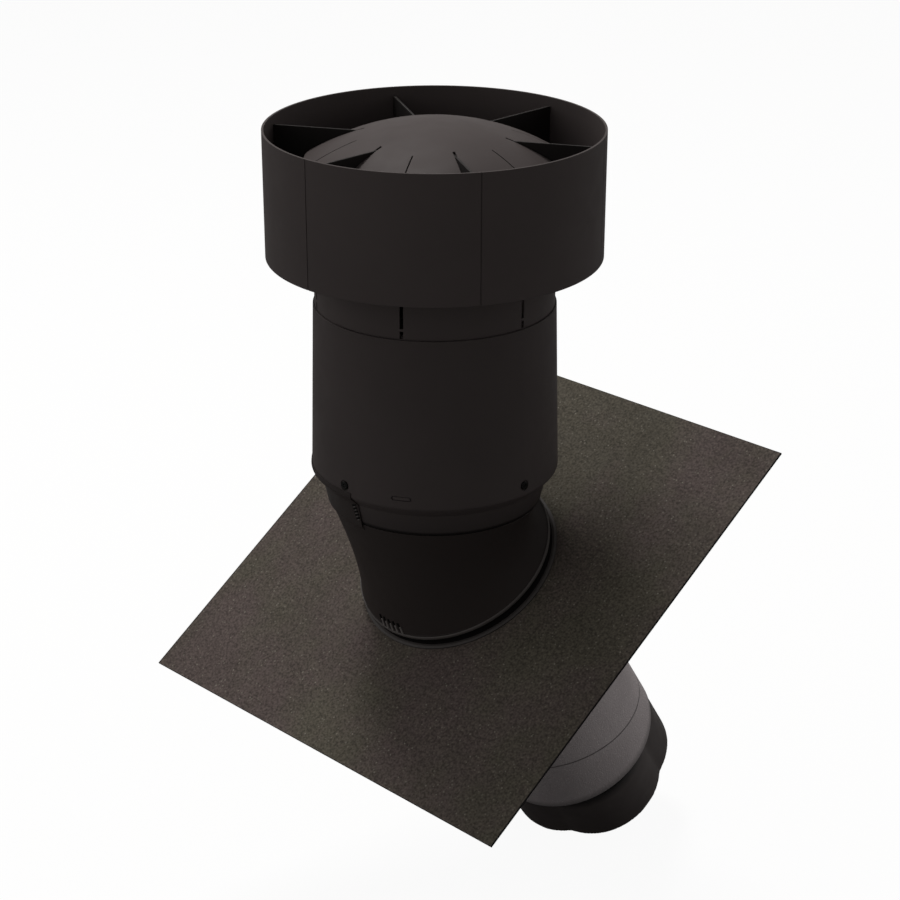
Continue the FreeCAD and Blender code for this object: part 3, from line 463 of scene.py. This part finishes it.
def addBar(shape, width, depth, length, place, rounding):
    # a bar with rounded edges: width along X, depth along Y, length along Z, turned and moved by place
    verts = bmesh.ops.create_cube(shape, size=1)["verts"]
    bmesh.ops.scale(shape, verts=verts, vec=(width, depth, length))
    edges = list({edge for vert in verts for edge in vert.link_edges})
    made = bmesh.ops.bevel(shape, geom=edges, offset=rounding, segments=2, profile=0.5, affect="EDGES",
                           material=-1)
    done = set(made["verts"]) | {vert for vert in verts if vert.is_valid}
    bmesh.ops.transform(shape, matrix=place, verts=list(done))


# crownSteps: how far below the top, in crowns, and how far out, as a share of the head's radius
screws = {"count": 4, "headHeight": 0.0016, "crown": 0.0004,
          "crownSteps": ((2, 1), (0.6, 0.93), (0.15, 0.7)), "shankRadius": 0.0021, "shankLength": 0.005,
          "crossLength": 0.0050, "crossWidth": 0.0011, "crossDepth": 0.0009, "crossTurns": (45, 135),
          "crossRounding": 0.0001, "steps": 32}


def makeScrews(setting):
    # four heads, each turned from its profile and cut with a cross
    low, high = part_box("casing_screws")
    headRadius = (high.z - low.z) / 2
    top = high.x
    seat = top - setting["headHeight"]
    tip = seat - setting["shankLength"]
    outline = [(tip, 0), (tip, setting["shankRadius"]), (seat, setting["shankRadius"]), (seat, headRadius)]
    for drop, share in setting["crownSteps"]:
        outline.append((top - setting["crown"] * drop, headRadius * share))
    outline.append((top, 0))
    shape = bmesh.new()
    points = [shape.verts.new((along, out, 0)) for along, out in outline]
    lines = [shape.edges.new(pair) for pair in zip(points, points[1:])]
    bmesh.ops.spin(shape, geom=points + lines, cent=(0, 0, 0), axis=(1, 0, 0), angle=math.tau,
                   steps=setting["steps"], use_merge=True)
    bmesh.ops.remove_doubles(shape, verts=shape.verts, dist=weld)
    cutter = bmesh.new()
    for turn in setting["crossTurns"]:
        place = Matrix.Translation((top, 0, 0)) @ Matrix.Rotation(math.radians(turn), 4, "X")
        addBar(cutter, setting["crossDepth"] * 2, setting["crossWidth"], setting["crossLength"], place,
               setting["crossRounding"])
    for source in (shape, cutter):
        bmesh.ops.recalc_face_normals(source, faces=source.faces)
    head = objectFrom("oneScrew", shape)
    cross = objectFrom("screwCross", cutter)
    cut = head.modifiers.new("cross", "BOOLEAN")
    cut.object = cross
    cut.operation = "DIFFERENCE"
    cut.solver = "EXACT"
    cut.use_self = True  # the two bars of the cross pass through each other
    finished = finishedMesh(head)
    ring = bmesh.new()
    for number in range(setting["count"]):
        start = len(ring.verts)
        ring.from_mesh(finished)
        ring.verts.ensure_lookup_table()
        turn = Matrix.Rotation(math.tau * number / setting["count"], 4, "Z")
        place = Matrix.Translation((0, pivot.y, (low.z + high.z) / 2)) @ turn
        bmesh.ops.transform(ring, matrix=place, verts=ring.verts[start:])
    bpy.data.objects.remove(head)
    bpy.data.objects.remove(cross)
    bpy.data.meshes.remove(finished)
    return keepPiece("screwHeads", ring, screwSteel, "upright")


# the wall's radius is measured a little above the slot, where the wall is whole
tongue = {"bearing": 30, "length": 0.0172, "width": 0.0031, "thick": 0.0016, "sunk": 0.00025, "steps": 12,
          "above": 0.0042, "reach": 0.2}


def makeSlotTongue(setting):
    # the casing's slot is nearly filled by a tongue of the same plastic, curved like the wall
    low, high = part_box("casing_screws")
    height = (low.z + high.z) / 2
    bearing = math.radians(setting["bearing"])
    outwards = Vector((math.sin(bearing), -math.cos(bearing), 0))
    axis = Vector((0, pivot.y, height))
    above = Vector((0, 0, setting["above"]))
    wall = skinOf("outer_casing").ray_cast(axis + above + outwards * setting["reach"], -outwards)[0]
    outer = (wall - axis - above).length - setting["sunk"]
    half = setting["length"] / outer / 2
    shape = bmesh.new()
    rise = setting["width"] / 2
    inner = outer - setting["thick"]
    corners = [(inner, -rise), (outer, -rise), (outer, rise), (inner, rise)]
    first = Matrix.Rotation(bearing - half, 3, "Z")
    verts = [shape.verts.new(axis + first @ Vector((0, -out, up))) for out, up in corners]
    face = shape.faces.new(verts)
    bmesh.ops.spin(shape, geom=[face] + list(face.edges) + verts, cent=axis, axis=(0, 0, 1),
                   angle=half * 2, steps=setting["steps"], use_duplicate=False)
    bmesh.ops.remove_doubles(shape, verts=shape.verts, dist=weld)
    return keepPiece("slotTongue", shape, darkPlastic, "upright")


# angles in degrees; reach: how far out the rays start that find the hood; rounding: a share of how
# proud a piece stands
ticks = {"count": 5, "spacing": 3.75, "lean": -1.2, "reach": 0.16, "rounding": 0.4,
         "bars": {"low": 0.0170, "high": 0.0248, "shift": 0.65, "width": 0.0024, "proud": 0.0009},
         "gaps": {"low": 0.0198, "high": 0.0288, "shift": -0.65, "width": 0.0023, "proud": 0.0009}}


def makeTicks(setting, kind, name, material):
    # upright strokes low on the hood's front, for reading how far it is turned in its flange; the bars carry a
    # painted highlight and the gaps between them painted shade
    hoodSkin = skinOf("hood")
    upSlope = slopeTurn.to_3x3()
    stroke = setting[kind]
    shape = bmesh.new()
    for number in range(setting["count"]):
        bearing = (number - (setting["count"] - 1) / 2) * setting["spacing"] + stroke["shift"]
        ends = []
        for height, lean in ((stroke["low"], 0), (stroke["high"], setting["lean"])):
            turn = math.radians(bearing + lean)
            outwards = upSlope @ Vector((math.sin(turn), -math.cos(turn), 0))
            level = upSlope @ Vector((0, 0, height))
            ends.append(hoodSkin.ray_cast(level + outwards * setting["reach"], -outwards)[:2])
        (bottom, normal), (top, otherNormal) = ends
        along = (top - bottom).normalized()
        out = (normal + otherNormal).normalized()
        side = out.cross(along).normalized()
        out = along.cross(side)
        turned = Matrix((side, out, along)).transposed().to_4x4()
        place = Matrix.Translation((bottom + top) / 2) @ turned
        length = (top - bottom).length
        rounding = stroke["proud"] * setting["rounding"]
        addBar(shape, stroke["width"], stroke["proud"] * 2, length, place, rounding)
    return keepPiece(name, shape, material, "upright")


teeth = {"count": 5, "bearings": (1.3, 2.6), "top": 0.1155, "bottom": 0.0975, "lean": 24, "reach": 0.2,
         "rounding": 0.4,
         "notch": {"width": 0.0056, "length": 0.0016, "proud": 0.0007, "shift": 0},
         "ridge": {"width": 0.0034, "length": 0.0011, "proud": 0.0009, "shift": 0.5}}


def makeTeeth(setting, kind, name, material):
    # short leaning teeth down the edge of the hood's lap: dark notches of painted shade and light ridges of
    # painted highlight
    hoodSkin = skinOf("hood")
    tooth = setting[kind]
    first, last = setting["bearings"]
    shape = bmesh.new()
    for number in range(setting["count"]):
        share = (number + tooth["shift"]) / setting["count"]
        turn = math.radians(first + (last - first) * share)
        outwards = Vector((math.sin(turn), -math.cos(turn), 0))
        start = Vector((0, pivot.y, setting["top"] + (setting["bottom"] - setting["top"]) * share))
        spot, out = hoodSkin.ray_cast(start + outwards * setting["reach"], -outwards)[:2]
        side = Vector((0, 0, 1)).cross(-out).normalized()
        turned = Matrix((side, out, side.cross(out))).transposed().to_4x4()
        place = Matrix.Translation(spot) @ turned @ Matrix.Rotation(math.radians(setting["lean"]), 4, "Y")
        rounding = tooth["proud"] * setting["rounding"]
        addBar(shape, tooth["width"], tooth["proud"] * 2, tooth["length"], place, rounding)
    return keepPiece(name, shape, material, "upright")


# footBand: the hood's radius is taken from its points this close to its foot
lip = {"height": 0.0044, "thick": 0.0022, "proud": 0.0008, "corners": 10, "steps": 160, "footBand": 0.001}


def makeHoodLip(setting):
    # a rounded bead along the foot of the hood, just over the black seal, lighter as a painted highlight
    lay = slopeTurn.inverted()
    foot = [lay @ vert.co for vert in nodes["hood"].data.vertices]
    level = min(point.z for point in foot)
    radius = max(point.xy.length for point in foot if point.z < level + setting["footBand"])
    middle = Vector((radius + setting["proud"] - setting["thick"] / 2, 0, level + setting["height"] / 2))
    shape = bmesh.new()
    made = bmesh.ops.create_circle(shape, segments=setting["corners"], radius=0.5)
    bmesh.ops.scale(shape, verts=made["verts"], vec=(setting["thick"], setting["height"], 1))
    bmesh.ops.rotate(shape, verts=made["verts"], cent=(0, 0, 0), matrix=Matrix.Rotation(math.pi / 2, 3, "X"))
    bmesh.ops.translate(shape, verts=made["verts"], vec=middle)
    bmesh.ops.spin(shape, geom=shape.verts[:] + shape.edges[:], cent=(0, 0, 0), axis=(0, 0, 1),
                   angle=math.tau, steps=setting["steps"], use_merge=True)
    bmesh.ops.remove_doubles(shape, verts=shape.verts, dist=weld)
    for face in shape.faces:
        face.smooth = True
    bmesh.ops.transform(shape, matrix=slopeTurn, verts=shape.verts)
    return keepPiece("hoodLip", shape, lipPlastic, "upright")


cuff = {"grid": 0.0018, "passes": 16, "pull": 0.5}


def makeCuff(setting):
    # the lower cuff with soft creases between its lobes: an even skin over the solid, smoothed
    # square with the pipe, so that its height stays
    rough = bmesh.new()
    rough.from_mesh(nodes["end_sleeve"].data)
    bmesh.ops.remove_doubles(rough, verts=rough.verts, dist=weld)
    bmesh.ops.transform(rough, matrix=slopeTurn.inverted(), verts=rough.verts)
    block = objectFrom("cuffBlock", rough)
    even = block.modifiers.new("even", "REMESH")
    even.mode = "VOXEL"
    even.voxel_size = setting["grid"]
    skin = finishedMesh(block)
    shape = bmesh.new()
    shape.from_mesh(skin)
    for number in range(setting["passes"]):
        bmesh.ops.smooth_vert(shape, verts=shape.verts, factor=setting["pull"], use_axis_x=True,
                              use_axis_y=True, use_axis_z=False)
    for face in shape.faces:
        face.smooth = True
    bmesh.ops.transform(shape, matrix=slopeTurn, verts=shape.verts)
    bpy.data.objects.remove(block)
    bpy.data.meshes.remove(skin)
    print("cuff:", len(shape.faces), "faces")
    return keepPiece("softCuff", shape, blackRubber, "swivel_end")


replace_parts(makeScrews(screws), "casing_screws")
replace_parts(makeCuff(cuff), "end_sleeve")
makeHoodLip(lip)
makeSlotTongue(tongue)
makeTicks(ticks, "bars", "scaleBars", tickPlastic)
makeTicks(ticks, "gaps", "scaleGaps", shadeBlack)
makeTeeth(teeth, "notch", "lapNotches", shadeBlack)
makeTeeth(teeth, "ridge", "lapRidges", lipPlastic)
print("small pieces made")


# Studio: a wide pale floor, a large soft light high on the left, a small one low on the right
# for the grey foam, a dim room and a camera
studio = {"floorSize": 14.0, "floorForCamera": 0.9, "floorGlow": 0.94, "floorForLight": 0.2,
          "roomForCamera": 1.0, "roomLow": 0.36, "roomHigh": 0.24, "roomFade": 0.55,
          "roomTint": (1, 0.985, 0.97), "roomSideFade": (0.1, 0.9),
          "roomSides": (((-0.70, -0.60, 0), 0.56), ((0.25, 0.88, -0.4), 0.62),
                        ((0.94, 0.34, 0.1), -0.11)),
          "lampTint": (1, 0.98, 0.96),
          "key": {"from": (-0.85, 0.25, 1.9), "distance": 4.0, "size": 1.0, "power": 120, "spread": 180,
                  "aim": (0.0, -0.03, 0.15)},
          "low": {"from": (0.72, 0.75, 0.09), "distance": 1.3, "size": 0.2, "power": 0.04, "spread": 20,
                  "aim": (0.09, 0.14, -0.22)}}


def grey(value):
    return (value, value, value, 1)


def makeFloor(setting):
    shape = bmesh.new()
    bmesh.ops.create_grid(shape, x_segments=1, y_segments=1, size=setting["floorSize"] / 2)
    bmesh.ops.translate(shape, verts=shape.verts, vec=(0, 0, cadBox[0][2]))
    floor = objectFrom("floor", shape)
    material = bpy.data.materials.new("paleFloor")
    material.use_nodes = True
    tree = material.node_tree
    tree.nodes.clear()
    seen = fill(addNode(tree, "ShaderNodeBsdfDiffuse"), Color=grey(setting["floorForCamera"]))
    glow = fill(addNode(tree, "ShaderNodeEmission"), Color=grey(1), Strength=1.0)
    dim = fill(addNode(tree, "ShaderNodeBsdfDiffuse"), Color=grey(setting["floorForLight"]))
    bright = fill(addNode(tree, "ShaderNodeMixShader"), Fac=setting["floorGlow"])
    pick = addNode(tree, "ShaderNodeMixShader")
    end = addNode(tree, "ShaderNodeOutputMaterial")
    tree.links.new(seen.outputs[0], bright.inputs[1])
    tree.links.new(glow.outputs[0], bright.inputs[2])
    tree.links.new(addNode(tree, "ShaderNodeLightPath").outputs["Is Camera Ray"], pick.inputs[0])
    tree.links.new(dim.outputs[0], pick.inputs[1])
    tree.links.new(bright.outputs[0], pick.inputs[2])
    tree.links.new(pick.outputs[0], end.inputs["Surface"])
    floor.data.materials.append(material)


def makeRoom(setting):
    world = bpy.data.worlds.new("room")
    world.use_nodes = True
    bpy.context.scene.world = world
    tree = world.node_tree
    tree.nodes.clear()
    seen = fill(addNode(tree, "ShaderNodeBackground"), Color=grey(1), Strength=setting["roomForCamera"])
    light = fill(addNode(tree, "ShaderNodeBackground"), Color=(*setting["roomTint"], 1))
    direction = addNode(tree, "ShaderNodeTexCoord").outputs["Generated"]
    height = addNode(tree, "ShaderNodeSeparateXYZ")
    tree.links.new(direction, height.inputs[0])
    strength = remap(tree, height.outputs["Z"], 0, setting["roomFade"],
                     setting["roomLow"], setting["roomHigh"])
    for side, extra in setting["roomSides"]:
        facing = measureAlong(tree, direction, side)
        lobe = remap(tree, facing, *setting["roomSideFade"], 0, extra)
        strength = arithmetic(tree, "ADD", strength, lobe)
    tree.links.new(strength, light.inputs["Strength"])
    pick = addNode(tree, "ShaderNodeMixShader")
    end = addNode(tree, "ShaderNodeOutputWorld")
    tree.links.new(addNode(tree, "ShaderNodeLightPath").outputs["Is Camera Ray"], pick.inputs[0])
    tree.links.new(light.outputs[0], pick.inputs[1])
    tree.links.new(seen.outputs[0], pick.inputs[2])
    tree.links.new(pick.outputs[0], end.inputs["Surface"])


def makeSoftLight(name, setting, tint):
    # a square light of the given size, aimed from a direction, whose beam can be narrowed
    lamp = bpy.data.lights.new(name, "AREA")
    lamp.shape = "SQUARE"
    lamp.size = setting["size"]
    lamp.energy = setting["power"]
    lamp.color = tint
    lamp.spread = math.radians(setting["spread"])
    aim = Vector(setting["aim"])
    place = aim + Vector(setting["from"]).normalized() * setting["distance"]
    light = bpy.data.objects.new(name, lamp)
    facing = (place - aim).to_track_quat("Z", "Y").to_matrix().to_4x4()
    light.matrix_world = Matrix.Translation(place) @ facing
    bpy.context.scene.collection.objects.link(light)


makeFloor(studio)
makeRoom(studio)
makeSoftLight("keyLight", studio["key"], studio["lampTint"])
makeSoftLight("lowLight", studio["low"], studio["lampTint"])

view = {"place": (1.41553, -1.43642, 0.99317), "bearing": 44.868, "dip": 23.22, "roll": 0.0893,
        "lens": 85.76, "sensor": 36}
lens = bpy.data.cameras.new("camera")
lens.lens = view["lens"]
lens.sensor_width = view["sensor"]
camera = bpy.data.objects.new("camera", lens)
camera.matrix_world = (Matrix.Translation(view["place"])
                       @ Matrix.Rotation(math.radians(view["bearing"]), 4, "Z")
                       @ Matrix.Rotation(math.radians(90 - view["dip"]), 4, "X")
                       @ Matrix.Rotation(math.radians(view["roll"]), 4, "Z"))
bpy.context.scene.collection.objects.link(camera)
bpy.context.scene.camera = camera
bpy.context.scene.view_settings.view_transform = "Standard"
print("studio and camera set")
